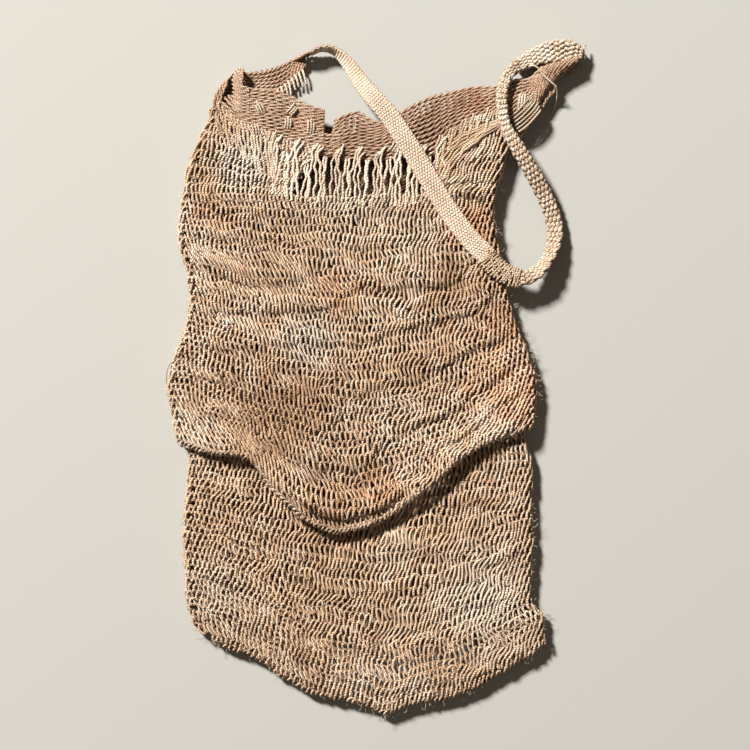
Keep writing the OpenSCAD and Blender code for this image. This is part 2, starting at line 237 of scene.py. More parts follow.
def bast_string(name, deep, mid, light, ply=3.4, groove=0.35, stains=(), bleached=(), mottle=0.5):
    """Hand-rolled two-ply bast, a plant fibre: dry and matt like raw flax, uneven in colour, with a
    slanting groove between its plies. The ply length and the patches are in millimetres."""
    material = bpy.data.materials.new(name)
    material.use_nodes = True
    tree = material.node_tree
    tree.nodes.clear()
    place = node(tree, "ShaderNodeTexCoord").outputs["Object"]
    lie = node(tree, "ShaderNodeAttribute", {"attribute_name": "lie"}).outputs["Fac"]
    # Broad and small patches come from handling and damp. Single fibres catch the light in flecks. Real
    # fibres are a tenth of a millimetre thick, too fine to show, so the flecks are ten times as coarse.
    broad, small, flecks = (
        node(tree, "ShaderNodeTexNoise", Vector=place, Scale=1 / (size * MM), Detail=3.0).outputs["Fac"]
        for size in (BROAD_PATCH, SMALL_PATCH, FIBRE_FLECK))
    tone = node(tree, "ShaderNodeMath", {"operation": "MULTIPLY_ADD"}, _0=broad, _1=mottle,
                _2=0.5 - mottle / 2)
    for pattern, share in ((small, 0.5), (flecks, 0.9)):
        tone = node(tree, "ShaderNodeMath", {"operation": "MULTIPLY_ADD"}, _0=pattern, _1=share,
                    _2=tone.outputs[0])
    tone = node(tree, "ShaderNodeMath", {"operation": "SUBTRACT"}, _0=tone.outputs[0], _1=0.7)
    ramp = node(tree, "ShaderNodeValToRGB", Fac=tone.outputs[0])
    ramp.color_ramp.elements[0].position = 0.12
    ramp.color_ramp.elements[0].color = linear(deep)
    ramp.color_ramp.elements[1].position = 0.9
    ramp.color_ramp.elements[1].color = linear(light)
    ramp.color_ramp.elements.new(0.5).color = linear(mid)
    colour = ramp.outputs["Color"]
    for x, y, size, tint, share, blend in ([(*stain, "MULTIPLY") for stain in stains]
                                           + [(*patch, "MIX") for patch in bleached]):
        away = node(tree, "ShaderNodeVectorMath", {"operation": "MULTIPLY"}, _0=place, _1=(1, 1, 0))
        away = node(tree, "ShaderNodeVectorMath", {"operation": "DISTANCE"}, _0=away.outputs[0],
                    _1=(x * MM, y * MM, 0))
        ragged = node(tree, "ShaderNodeMath", {"operation": "MULTIPLY_ADD"}, _0=small, _1=size * MM,
                      _2=away.outputs["Value"])
        amount = node(tree, "ShaderNodeMapRange", {"interpolation_type": "SMOOTHSTEP"},
                      Value=ragged.outputs[0], From_Min=size * 1.6 * MM, From_Max=size * 0.5 * MM,
                      To_Min=0.0, To_Max=share)
        colour = node(tree, "ShaderNodeMix", {"data_type": "RGBA", "blend_type": blend},
                      _0=amount.outputs[0], _6=colour, _7=linear(tint)).outputs[2]
    # The groove between the two plies runs round the string once in each ply length. Its colour is painted
    # darker, as shade in the groove, and it also drives the bump.
    string_map = node(tree, "ShaderNodeUVMap", {"uv_map": "string"})
    run = node(tree, "ShaderNodeSeparateXYZ", Vector=string_map.outputs[0])
    winding = node(tree, "ShaderNodeMath", {"operation": "MULTIPLY_ADD"}, _0=run.outputs[0],
                   _1=1 / ply, _2=run.outputs[1])
    wave = node(tree, "ShaderNodeMath", {"operation": "MULTIPLY"}, _0=winding.outputs[0], _1=2 * TAU)
    wave = node(tree, "ShaderNodeMath", {"operation": "SINE"}, _0=wave.outputs[0])
    furrow = node(tree, "ShaderNodeMapRange", Value=wave.outputs[0], From_Min=-1.0, From_Max=0.1,
                  To_Min=1 - groove, To_Max=1.0)
    colour = node(tree, "ShaderNodeMix", {"data_type": "RGBA", "blend_type": "MULTIPLY"}, _0=1.0,
                  _6=colour, _7=furrow.outputs[0]).outputs[2]
    # Painted shade and highlight: where a string lies low among its neighbours or on its underside it is
    # tinted dark brown as shade, and where it lies high or on top it is tinted pale as lit, with a random
    # tone mixed in.
    painted_shade_and_highlight = node(tree, "ShaderNodeMix", {"data_type": "RGBA"}, _0=lie, _6=linear("#6A4C2A"),
                _7=linear("#F0F5FF"))
    colour = node(tree, "ShaderNodeMix", {"data_type": "RGBA", "blend_type": "MULTIPLY"}, _0=1.0,
                  _6=colour, _7=painted_shade_and_highlight.outputs[2]).outputs[2]
    height = node(tree, "ShaderNodeMath", {"operation": "MULTIPLY_ADD"}, _0=flecks, _1=0.6,
                  _2=furrow.outputs[0])
    # Dry bast scatters light broadly: high roughness, little mirror light and a faint dusty sheen.
    bump = node(tree, "ShaderNodeBump", Height=height.outputs[0], Strength=0.9, Distance=0.5 * MM)
    surface = node(tree, "ShaderNodeBsdfPrincipled", Base_Color=colour, Normal=bump.outputs[0],
                   Roughness=0.88, IOR=1.5, Sheen_Weight=0.15, Sheen_Roughness=0.6)
    surface.inputs["Specular IOR Level"].default_value = 0.25
    node(tree, "ShaderNodeOutputMaterial", Surface=surface.outputs[0])
    return material


# Fine bast, tightly plaited and rubbed by the shoulder: pale cream and smooth, with shallow grooves.
fine_bast = bast_string("fine rolled bast plait", "#BE9E7C", "#F0D0B3", "#FFEEDC", ply=2.4, groove=0.25,
                        mottle=0.3)
strap_long = piece_of("strap_long_plait", plait(LONG_ROUTE, LONG_WIDTH, 14, 27, 1.85, 0.5, seed=3),
                      fine_bast, "strap", ["strap_long"])

# ---- Short strap --------------------------------------------------------------------------------
# The coarse half of the strap: a plait of seven thick strings, 12 mm wide, with scalloped edges. It
# loops out beside the bag, comes back over the rim and runs narrowed into the tip of the horn.
SHORT_ROUTE = [(98.9, 69.5, 14.6, 0.95, 0), (106, 70.5, 13.6, 0.95, -12), (113.5, 75, 11.8, 1, -35),
               (120, 82.5, 9.4, 1, -48), (124.3, 92, 7.4, 1, -34), (126, 103, 6.2, 1, -12),
               (124.6, 113, 6.4, 1, 0), (120.8, 123, 8, 1, 0), (113, 138, 11.6, 1, 0),
               (103, 154, 15.6, 0.96, 0), (95, 167, 17.2, 0.86, 0), (90, 177, 17, 0.74, 0),
               (87.8, 190, 16.8, 0.72, 0), (88.2, 201, 16.2, 0.72, 0), (91.4, 210.5, 14.6, 0.74, 8),
               (96.4, 216.8, 11.6, 0.8, 12), (101.4, 220.4, 9.6, 0.86, 14)]
SHORT_WIDTH = 12.4
# Coarse bast, loosely rolled: deeper grooves and stronger flecks between light and tan.
coarse_bast = bast_string("coarse rolled bast plait", "#A08264", "#DCBE9E", "#FFEEDA", ply=2.6, groove=0.5,
                          mottle=0.6)
strap_short = piece_of("strap_short_plait", plait(SHORT_ROUTE, SHORT_WIDTH, 7, 25, 2.9, 0.5, seed=5),
                       coarse_bast, "strap", ["strap_short"])

# ---- Sewn overlap -------------------------------------------------------------------------------
# The two straps lie on each other for 30 mm and are wrapped and sewn with thin bast string. Four
# raised stitches cross the wrapping.
POINTS_PER_TURN = 22
SPLICE_LINE = [(76, 84.5, 15.4), (82, 79, 15.6), (88, 74.2, 15.6), (94, 71, 15.3), (100, 69.8, 14.8)]


def all_along(path, way=(0, 0, 1.0)):
    """The same direction at every point of a path, straight up unless another is given."""
    return np.tile(way, (len(path), 1))


def wrapping(line, half, thick, lift, pitch, lean, seed):
    """String wound round a flat core: long slanting turns over the top and back underneath."""
    core = even(through(line, 8), 0.5)
    s = distance_along(core)
    along = unit(np.gradient(core, axis=0))
    across = unit(np.stack([-along[:, 1], along[:, 0], 0 * along[:, 0]], 1))
    fine = np.linspace(0, s[-1], int(s[-1] / pitch * POINTS_PER_TURN))
    at = TAU * fine / pitch
    chance = np.random.default_rng(seed)
    wobble = 1 + 0.06 * np.sin(at * 0.37 + chance.uniform(0, TAU))
    middle, sideways, forward = (at_places(fine, s, line) for line in (core, across, along))
    out = np.sign(np.cos(at)) * np.abs(np.cos(at)) ** 0.6
    path = (middle + sideways * (half * wobble * out)[:, None] + forward * (lean * np.cos(at))[:, None]
            + np.array([0, 0, 1]) * (lift * np.sin(at))[:, None])
    facing = sideways * out[:, None] + np.array([0, 0, 1.0]) * np.sin(at)[:, None]
    # Painted shade: the turns underneath the core are darker than those on top.
    return string_tube(path, unit(facing), thick, 6, 0.9, 0.5 + 0.5 * np.sin(at))


# Thin bast string, pulled tight, with deep grooves painted dark as shade.
wrap_string = bast_string("handled wrapping string", "#9C7C58", "#DCBE98", "#F8E4C8", groove=0.6)
# Three layers, each wound at its own slant: half width, thickness, lift, pitch, slant and seed.
WRAP_LAYERS = [(6.9, 1.45, 1.5, 2.3, 1.4, 8), (6.3, 1.35, 1.5, 4.1, -3.0, 9), (5.4, 1.3, 1.9, 6.3, 2.8, 10)]
piece_of("strap_splice_wrapping", [wrapping(SPLICE_LINE, *layer) for layer in WRAP_LAYERS],
         wrap_string, "strap", ["strap_splice"])
stitches = []
for start, bend, end in [((80.5, 82.5, 17.0), (82.2, 77.6, 18.2), (86.2, 73.5, 17.2)),
                         ((84.8, 80.8, 17.0), (86.4, 76.4, 18.2), (90.4, 71.6, 17.2)),
                         ((89.2, 77.6, 17.0), (92.6, 74.6, 18.0), (94.2, 69.4, 17.0)),
                         ((94.4, 75.4, 16.8), (97.0, 71.6, 17.6), (96.4, 66.4, 16.6))]:
    curved = through([start, bend, end], 6)
    stitches.append(string_tube(curved, all_along(curved), 1.1, 6))
piece_of("splice_stitches_raised", stitches, wrap_string, "strap", ["splice_stitches"])

# ---- Loose thread -------------------------------------------------------------------------------
# One bast thread that has come out of the horn. It lies across the horn, hangs over its edge and ends
# on the table.
THREAD_ROUTE = [(107, 218, 13.4), (110, 218.5, 14.6), (113.5, 216.5, 14.6), (116, 213, 13.8),
                (119, 210, 13.6), (122.5, 207, 13.6), (126, 204, 12.4), (127.4, 199.5, 8),
                (126.8, 194, 3), (124.6, 188, 0.8)]
THREAD_THICK = 1.1
# Bast that has come loose and lost its colour to the light: pale, hardly grooved.
bleached = bast_string("bleached loose fibre", "#B49A78", "#DCCBAE", "#F4EAD6", ply=1.6, groove=0.15)
thread_line = even(through(THREAD_ROUTE, 6), 0.8)
thread_up = unit(all_along(thread_line, (0.3, 0.1, 1.0)))
loose_thread = piece_of("loose_thread_strand", [string_tube(thread_line, thread_up, THREAD_THICK, 6)],
                        bleached, "root", ["loose_thread"])

# ---- Netting of the upper bag -------------------------------------------------------------------
# One tube of looped two-ply string, worked round and round without knots: 72 loops across the front,
# as many across the back and four round each side. Every loop hangs through two of the row above.
FRONT_LOOPS = 72
SIDE_LOOPS = 4
UPPER_ROWS = 40
FOLD_ROW = 33
TOP_ROWS = 10
EDGE = 5.0
HEADER_LINE = 126.0
STRING = 1.65
FRONT_Z, BACK_Z = 11.4, 1.75


def corners_of(name, height=None):
    """Corner points of a solid in millimetres, or those at one height."""
    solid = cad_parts[name]
    points = np.array([solid.matrix_world @ v.co for v in solid.data.vertices]) / MM
    return points if height is None else points[np.abs(points[:, 2] - height) < 0.05]


def outline(points, by):
    """Edge points in order along one direction, ready for reading off the other."""
    points = points[np.argsort(points[:, by])]
    return points[:, by], points[:, 1 - by]


upper_plan = corners_of("net_back_upper", 0)
upper_left = outline(upper_plan[upper_plan[:, 0] < -115], 1)
upper_right = outline(upper_plan[(upper_plan[:, 0] > 82) & (upper_plan[:, 1] < 181)], 1)
upper_end = upper_plan[(upper_plan[:, 0] > -91) & (upper_plan[:, 0] < 89) & (upper_plan[:, 1] > 150)]
rim_foot = outline(upper_end, 0)
rim_foot = (np.append([-115, -104], rim_foot[0]), np.append([186, 178], rim_foot[1]))
lip_edge = outline(corners_of("net_fold_roll", 12.6), 0)
roll_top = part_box("net_fold_roll")[1][2] / MM
LIP_LEFT, LIP_RIGHT = -139, 106
lip_ends = (np.interp(LIP_LEFT, *lip_edge), np.interp(LIP_RIGHT, *lip_edge))


def ripple(seed, wave, count=7):
    """Smooth, seeded unevenness between about -1 and 1, with bumps about a wave apart."""
    chance = np.random.default_rng(seed)
    angle = chance.uniform(0, TAU, count)
    length = wave * chance.uniform(0.7, 1.6, count)
    phase = chance.uniform(0, TAU, count)

    def at(x, y):
        total = 0
        for a, l, p in zip(angle, length, phase):
            total = total + np.sin(TAU * (x * np.cos(a) + y * np.sin(a)) / l + p)
        return total * (1.6 / count) ** 0.5 / 1.3
    return at


def ease(value, low, high):
    """0 below the low value, 1 above the high one, and a smooth way between."""
    t = np.clip((value - low) / (high - low), 0, 1)
    return t * t * (3 - 2 * t)


slack = ripple(11, 48)
drift_x, drift_y = ripple(12, 26), ripple(13, 30)
crease = ripple(14, 90)


def fold_height(x, behind):
    """How far the slumped roll stands above the front wall, at a distance behind its lip."""
    share = np.clip((x - LIP_LEFT) / (LIP_RIGHT - LIP_LEFT), 0, 1)
    swell = (roll_top - 13) * np.clip(np.sin(np.pi * share), 0, 1) ** 0.5
    section = np.interp(behind, [-1, 1, 5, 8, 10, 11.5, 14, 18, 23, 28],
                        [0.12, 0.2, 0.2, 0.3, 0.72, 0.96, 1, 0.78, 0.28, 0])
    crisp = np.interp(behind, [-1, 0.5, 4, 9, 16, 23, 28], [0.6, 0.94, 1, 0.88, 0.56, 0.2, 0])
    middle = ease(x, -66, -38) * (1 - ease(x, 4, 34))
    return swell * (section * middle + crisp * (1 - middle))


def upper_front(across, row):
    """A place on the front wall, for a share of the way from left to right and a row number."""
    f = np.clip(row, 0, None) / UPPER_ROWS
    left_y = HEADER_LINE + (lip_ends[0] - HEADER_LINE) * f
    right_y = HEADER_LINE + (lip_ends[1] - HEADER_LINE) * f
    above = np.clip(-row, 0, None) / TOP_ROWS
    left_y = left_y + (184 - HEADER_LINE) * above
    right_y = right_y + (176 - HEADER_LINE) * above
    left = np.interp(left_y, *upper_left) + EDGE
    right = np.interp(right_y, *upper_right) - EDGE
    x = left + (right - left) * across
    # Rows sag to the middle, and the last ones follow the lip.
    hang = -45 - 58 * np.clip(1 - ((x + 16) / 118) ** 2, 0, 1)
    lip = hang + (np.interp(x, *lip_edge) - hang) * ease(f, 0.62, 1)
    y = HEADER_LINE + (lip - HEADER_LINE) * f + (np.interp(x, *rim_foot) + 2 - HEADER_LINE) * above
    inside = ease(across, 0, 0.06) * ease(1 - across, 0, 0.06)
    x = x + 1.3 * drift_x(x, y) * inside
    y = y + 1.5 * drift_y(x, y) * inside
    behind = y - np.interp(x, *lip_edge)
    under = np.clip(-behind, 0, 3)
    # Shallow creases run along the rows.
    pleat = (np.clip(row, 0, None) / 6.2 + 0.26 * crease(x, y) + x / 150) % 1
    pleat = pleat * ease(1 - pleat, 0, 0.22) * ease(f, 0.06, 0.25) * (1.0 + 0.5 * ease(x, -40, 60))
    z = FRONT_Z + fold_height(x, behind) + 0.35 * slack(x, y) * inside + 2.0 * pleat * inside - under * 0.9
    return x, y + under * 1.2, z


def ring_place(front, back_z, back_drop, loops):
    """Turns a wall into a closed tube: front, right turn, back and left turn, counted in loops."""
    def place(loop, row):
        f = np.clip(loop / loops, 0, 1)
        b = np.clip(1 - (loop - loops - SIDE_LOOPS) / loops, 0, 1)
        turn_right = np.clip((loop - loops) / SIDE_LOOPS, 0, 1)
        turn_left = np.clip((loop - 2 * loops - SIDE_LOOPS) / SIDE_LOOPS, 0, 1)
        on_front = loop <= loops
        on_back = (loop >= loops + SIDE_LOOPS) & (loop <= 2 * loops + SIDE_LOOPS)
        share = np.where(loop < loops + SIDE_LOOPS, f, b)
        share = np.where(loop > 2 * loops + SIDE_LOOPS, 0.0, share)
        x, y, z = front(share, row)
        left = front(np.zeros_like(share), row)
        right = front(np.ones_like(share), row)
        flat_y = left[1] + (right[1] - left[1]) * share - back_drop(row) * np.sin(np.pi * share) ** 0.5
        y = np.where(on_back & (row > 0), flat_y, y)
        z = np.where(on_back, back_z(row), z)
        angle = np.pi * np.where(loop > 2 * loops, 1 - turn_left, turn_right)
        side_z = np.where(loop > 2 * loops, left[2], right[2])
        middle = (side_z + back_z(row)) / 2
        way = np.where(loop > 2 * loops, -1, 1)
        bend = ~on_front & ~on_back
        x = np.where(bend, x + way * (EDGE - 0.8) * np.sin(angle), x)
        z = np.where(bend, middle + (side_z - back_z(row)) / 2 * np.cos(angle), z)
        return np.stack([x, y, z], -1)
    return place


upper_place = ring_place(upper_front, lambda row: BACK_Z, lambda row: 5 * ease(row, 20, UPPER_ROWS),
                         FRONT_LOOPS)
# Some patches are looser than others, and some rows lie higher or are darker.
open_patch = ripple(15, 34, 9)
row_chance = np.random.default_rng(17)
row_lift = row_chance.uniform(-0.25, 0.25, 200) + 0.5 * (row_chance.uniform(0, 1, 200) > 0.8)
row_tone = row_chance.normal(0, 0.08, 200)


def looped_rows(place, loops, rows, lean, points=14, thick=STRING, swing=2.0, reach=0.62, relief=0.85):
    """Rows of knotless loops laid on a surface, with points per loop. Odd rows are half a loop on. Swing is
    how round the loops are, reach how far they hang and relief how far they cross over each other."""
    tubes = []
    last_loop = 3 * FRONT_LOOPS
    for row in range(*rows):
        count = int((loops[1] - loops[0]) * points)
        t = loops[0] + np.arange(count + 1) / points
        shift = 0.5 * (row % 2)
        turn = TAU * (t - shift)
        loose = open_patch(t * 3.5, row * 6.0)
        chance = np.random.default_rng(1000 + row)
        beads = np.arange(-4, last_loop, 0.5)
        width_by, height_by, lean_by, size_by, tone_by = (
            np.interp(t, beads, chance.normal(0, 1, len(beads)).clip(-2, 2)) for _ in range(5))
        kinks = np.arange(-4, last_loop, 0.21)
        kink_x, kink_y = (np.interp(t, kinks, chance.normal(0, 1, len(kinks)).clip(-2, 2)) for _ in range(2))
        wide = swing + 0.55 * loose + 0.6 * width_by
        tall = reach + 0.07 * height_by + 0.04 * loose
        loop = t - wide * np.sin(turn) / TAU + (lean(t) + 0.16 * lean_by) * np.cos(turn) + 0.1 * width_by
        loop = loop + 0.05 * kink_x
        at_row = row + tall * np.cos(turn) + 0.12 * height_by + 0.04 * kink_y
        near = place(loop, at_row)
        along = place(loop + 0.05, at_row) - place(loop - 0.05, at_row)
        down = place(loop, at_row + 0.05) - place(loop, at_row - 0.05)
        facing = unit(np.cross(down, along))
        lift = relief * np.sin(turn) + 0.3 * size_by
        path = near + facing * (lift + row_lift[row % 200])[:, None]
        # No string sinks into the table.
        path[:, 2] = np.maximum(path[:, 2], 0.55 * thick)
        size = thick * (1 + 0.1 * size_by - 0.05 * loose)
        # Painted shade: loops are darker where they pass under at a crossing and lighter where they pass
        # over, with a random tone by stitch and row.
        depth = 0.55 + 0.4 * np.sin(turn) + 0.2 * tone_by + row_tone[row % 200]
        tubes.append(string_tube(path, facing, size, 6, 1.0, depth))
    return tubes


def upper_lean(loop):
    """Loops on the left lean to the left at their tops, those on the right stand straight."""
    return 0.44 - 0.52 * ease(loop, 16, FRONT_LOOPS - 8)


# Damp and rust have darkened some places. Light has bleached the header and others. The last pale patch is
# a warm one, where rust has soaked in evenly. Each has its place, size, colour and share.
STAINS = [(66, 102, 26, "#F0B887", 0.6), (-117, 118, 18, "#F2C69A", 0.3),
          (-26, 62, 24, "#F0C49A", 0.45), (3, -78, 22, "#E6B88E", 0.5), (50, 55, 42, "#C8AE94", 0.6),
          (-66, -20, 50, "#D8BC9C", 0.5), (-30, -96, 34, "#C6A68A", 0.5), (70, -66, 30, "#D6B494", 0.5),
          (-52, -194, 10, "#A8826A", 0.6), (0, -184, 10, "#A8826A", 0.6), (90, 40, 22, "#E2B48E", 0.5)]
PALE = [(-45, 24, 27, "#E6DCCB", 0.6), (-20, 142, 52, "#F4E6CE", 0.65), (-95, 148, 26, "#F4EAD8", 0.7),
        (-112, -150, 34, "#F2E6D2", 0.4), (80, -150, 50, "#F0E4D2", 0.35), (30, 100, 30, "#F4E6CE", 0.3),
        (98, -8, 46, "#FFBC8B", 0.6)]
# Bast string rolled by hand: uneven tan, with painted highlights on its turns and painted shade in its deep
# grooves and in the gaps.
netting_bast = bast_string("hand-rolled bast netting string", "#A07854", "#E8C199", "#FFF4E2", ply=3.2,
                           groove=0.6, stains=STAINS, bleached=PALE, mottle=0.6)
FRONT = (0, FRONT_LOOPS)
BACK = (FRONT_LOOPS + SIDE_LOOPS, 2 * FRONT_LOOPS + SIDE_LOOPS)
RIGHT_TURN = (FRONT_LOOPS, FRONT_LOOPS + SIDE_LOOPS)
LEFT_TURN = (2 * FRONT_LOOPS + SIDE_LOOPS, 2 * FRONT_LOOPS + 2 * SIDE_LOOPS)


def no_lean(loop):
    """These loops stand straight."""
    return 0 * loop


def netted(name, node_name, body, place, loops, rows, lean=no_lean, slot="netting", **shape):
    """One piece of the tube of netting."""
    return piece_of(name, looped_rows(place, loops, rows, lean, **shape), netting_bast, body,
                    [node_name])


# Long walls are made in several pieces of some ten to twenty rows.
for number, rows in enumerate([(0, 11), (11, 22), (22, FOLD_ROW)]):
    netted(f"net_front_upper_rows_{number + 1}", "net_front_upper", "root", upper_place, FRONT, rows,
           upper_lean)
for number, rows in enumerate([(-TOP_ROWS, 6), (6, 23), (23, UPPER_ROWS + 1)]):
    netted(f"net_back_upper_rows_{number + 1}", "net_back_upper", "root", upper_place, BACK, rows, points=10)
for side, turn, top_row in [("right", RIGHT_TURN, 1 - TOP_ROWS), ("left", LEFT_TURN, -TOP_ROWS)]:
    netted(f"net_side_{side}_upper_turn", f"net_side_{side}_upper", "root", upper_place, turn,
           (top_row, UPPER_ROWS + 1))

# ---- Slumped fold -------------------------------------------------------------------------------
# The same netting where it has slid down over itself: a soft roll whose lip hangs over the lower
# bag. The loops that turn under along the lip are drawn out thin and lie close.
netted("net_fold_roll_rows", "net_fold_roll", "root", upper_place, FRONT, (FOLD_ROW, UPPER_ROWS + 1),
       upper_lean)
LIP_LOOPS = 86


def lip_place(loop, row):
    """A place along the lip, with its rows one under the other."""
    x = -138.5 + 244 * loop / LIP_LOOPS
    y = np.interp(x, *lip_edge) + 1.0 - 1.5 * row
    return np.stack([x, y + 0.5 * drift_y(x, y), 12.7 + fold_height(x, 0.5) - 0.9 * row], -1)


lip_loops = looped_rows(lip_place, (0, LIP_LOOPS), (0, 2), no_lean, thick=1.3, swing=2.1, reach=0.7,
                        relief=0.5)
piece_of("net_fold_lip_loops", lip_loops, coarse_bast, "root", ["net_fold_roll"])

# ---- Lower bag ----------------------------------------------------------------------------------
# The bottom of the tube. Its upper end is tucked up inside the fold as a pleat, so it can be pulled
# out, and its lower end is closed in a loopy edge.
LOWER_ROWS = 28
TUCK_ROWS = 8
LOWER_Z, PLEAT_Z = 9.3, 3.6
fold_line = corners_of("net_back_lower")[:, 1].max()
lower_plan = corners_of("net_back_lower", 0)
lower_left = outline(lower_plan[(lower_plan[:, 0] < -117) & (lower_plan[:, 1] > -187)], 1)
lower_right = outline(lower_plan[(lower_plan[:, 0] > 105) & (lower_plan[:, 1] > -188)], 1)
base_edge = outline(lower_plan[lower_plan[:, 1] < -185.9], 0)
TUCK_LEFT, TUCK_RIGHT, TUCK_TOP = -130.0, 104.0, fold_line + 46


def lower_front(across, row):
    """A place on the lower front wall. Rows below 0 are those tucked up inside the fold."""
    f = np.clip(row, 0, None) / LOWER_ROWS
    up = np.clip(-row, 0, None) / TUCK_ROWS
    left_y = fold_line + (-182 - fold_line) * f
    right_y = fold_line + (-185 - fold_line) * f
    left = np.interp(left_y, *lower_left) + EDGE
    right = np.interp(right_y, *lower_right) - EDGE
    left = left + (TUCK_LEFT + EDGE - left) * ease(up, 0, 0.3)
    right = right + (TUCK_RIGHT - EDGE - right) * ease(up, 0, 0.3)
    x = left + (right - left) * across
    base = np.interp(x, *base_edge) + 6
    sag = -14 * np.sin(np.pi * f) * np.sin(np.pi * across)
    y = fold_line + (base - fold_line) * f + sag + (TUCK_TOP - fold_line) * up
    inside = ease(across, 0, 0.06) * ease(1 - across, 0, 0.06) * ease(f, 0.02, 0.2)
    x = x + 1.4 * drift_x(x + 70, y) * inside
    y = y + 1.5 * drift_y(x + 90, y) * inside * ease(1 - f, 0.02, 0.15)
    # The wall is pressed down under the lip and inside the fold.
    below_lip = np.interp(x, *lip_edge) - y
    hollow = (0.7 + 0.3 * ease(below_lip, -14, 2)) * (1 - ease(below_lip, 6, 24))
    hollow = hollow * (inside + (1 - inside) * ease(-row, 0, 1.5))
    pleat = (np.clip(row, 0, None) / 5.4 + 0.24 * crease(x, y) - x / 190) % 1
    pleat = pleat * ease(1 - pleat, 0, 0.22) * ease(below_lip, 8, 30)
    z = LOWER_Z - 4.0 * hollow + 0.3 * slack(x, y + 40) * inside + 1.5 * pleat * inside
    return x, y, z


lower_place = ring_place(lower_front, lambda row: np.where(row < -0.2, PLEAT_Z, BACK_Z),
                         lambda row: 0 * row, FRONT_LOOPS)


def lower_lean(loop):
    """Loops of the lower bag lean much less."""
    return 0.1 - 0.16 * ease(loop, 10, FRONT_LOOPS - 10)


for number, rows in enumerate([(-TUCK_ROWS, 4), (4, 16), (16, LOWER_ROWS)]):
    netted(f"net_front_lower_rows_{number + 1}", "net_front_lower", "lower_bag", lower_place, FRONT, rows,
           lower_lean, swing=2.35, relief=0.65)
netted("net_pleat_back_rows", "net_pleat_back", "lower_bag", lower_place, BACK, (-TUCK_ROWS, 0),
       slot="netting_shade", points=10, relief=0.5)
for number, rows in enumerate([(0, 14), (14, LOWER_ROWS)]):
    netted(f"net_back_lower_rows_{number + 1}", "net_back_lower", "lower_bag", lower_place, BACK, rows,
           points=10)
for side, turn in [("right", RIGHT_TURN), ("left", LEFT_TURN)]:
    netted(f"net_side_{side}_lower_turn", f"net_side_{side}_lower", "lower_bag", lower_place, turn,
           (-TUCK_ROWS, LOWER_ROWS))

# The two walls meet in a closed edge of larger, uneven loops.
base_loose = ripple(18, 19, 6)


def base_place(loop, row):
    """A place on the base edge, which turns from the front wall round to the back wall in three rows."""
    x = -114 + (118 + 114) * np.clip(loop, -1, FRONT_LOOPS + 1) / FRONT_LOOPS
    angle = np.pi * np.clip(row / 3, -0.2, 1.2)
    outward = EDGE + 0.8 * base_loose(x, 0 * x)
    y = np.interp(x, *base_edge) + 6 - outward * np.sin(angle)
    middle, half = (LOWER_Z + BACK_Z) / 2, (LOWER_Z - BACK_Z) / 2
    return np.stack([x, y, middle + half * np.cos(angle)], -1)


netted("net_base_edge_loops", "net_base_edge", "lower_bag", base_place, FRONT, (0, 4), swing=2.6,
       reach=0.6, relief=0.5)

# ---- Header -------------------------------------------------------------------------------------
# Between the netting and the rim the warp cords run bare: long pale two-ply cords, wavy and bunched,
# with gaps that show the dark inside. At both sides they crowd together and slant to the corners.
HEADER_CORDS = 43
CORD_PITCH = 2.9
FIRST_CORD = -76
# Thick two-ply cord that was never handled: bleached nearly white, smooth, with a long slanting groove.
warp_bast = bast_string("pale two-ply warp cord", "#C4A686", "#FADFC2", "#FFF8EC", ply=4.2, groove=0.35,
                        mottle=0.35)


def foot_of_rim(x):
    """Where the netting ends and the rim begins."""
    return np.interp(x, *rim_foot)


def bare_cord(points, thick, sway, chance, lift=0.5):
    """One warp cord through a few points, with a slack wave in it."""
    line = even(through(points, 8), 0.9)
    t = np.linspace(0, 1, len(line))
    length = distance_along(line)[-1]
    along = unit(np.gradient(line, axis=0))
    across = unit(np.stack([along[:, 1], -along[:, 0], 0 * t], 1))
    wave = sway * (np.sin(TAU * (t * length / 17 + chance.uniform())) * 0.7
                   + np.sin(TAU * (t * length / 8 + chance.uniform())) * 0.4)
    line = line + across * (wave * np.sin(np.pi * t) ** 0.5)[:, None]
    line[:, 2] += lift * np.sin(np.pi * t) + 0.25 * np.sin(TAU * t * 2 + chance.uniform(0, TAU))
    size = thick * (1 + 0.1 * np.sin(TAU * t * 1.3 + chance.uniform(0, TAU)))
    shade = np.clip(0.8 + chance.uniform(-0.3, 0.25) + 0 * t, 0, 1)
    return string_tube(line, all_along(line), size, 7, 0.95, shade)


header_chance = np.random.default_rng(21)
cords = []
for number in range(HEADER_CORDS):
    group, place_in_group = divmod(number, 5)
    foot = FIRST_CORD + CORD_PITCH * number + header_chance.uniform(-0.8, 0.8)
    top = foot + 2.2 + header_chance.uniform(-1.0, 1.0)
    foot_y = 123.5 + header_chance.uniform(-5.5, 3.5) + 9 * ease(-foot, 50, 76)
    edge = foot_of_rim(top)
    thick = 1.8 + header_chance.uniform(-0.3, 0.3)
    bend = (foot + top) / 2 + header_chance.uniform(-1.5, 1.5)
    if place_in_group < 3:
        # Three of every five come out over the band and turn in again behind its second row.
        gather = FIRST_CORD + CORD_PITCH * (5 * group + 1) + 2.6 + (place_in_group - 1) * 1.9
        reach = 7 + header_chance.uniform(-2, 3)
        points = [(foot, foot_y, 11.9), (bend, (foot_y + edge) / 2, 12.3), (gather - 0.9, edge - 0.5, 13.2),
                  (gather + 1.2, edge + reach * 0.6, 14.2), (gather + 3.0, edge + reach, 12.6)]
    else:
        points = [(foot, foot_y, 11.3), (bend, (foot_y + edge) / 2, 11.7), (top, edge + 1.5, 11.4)]
    cords.append(bare_cord(points, thick, 0.9, header_chance))
piece_of("header_cords_bare", cords, warp_bast, "mouth_lip", ["header_cords"])


def header_lean(loop):
    """Loops lean towards the corner that they are drawn up to."""
    return 0.34 - 0.42 * ease(loop, 10, 50)


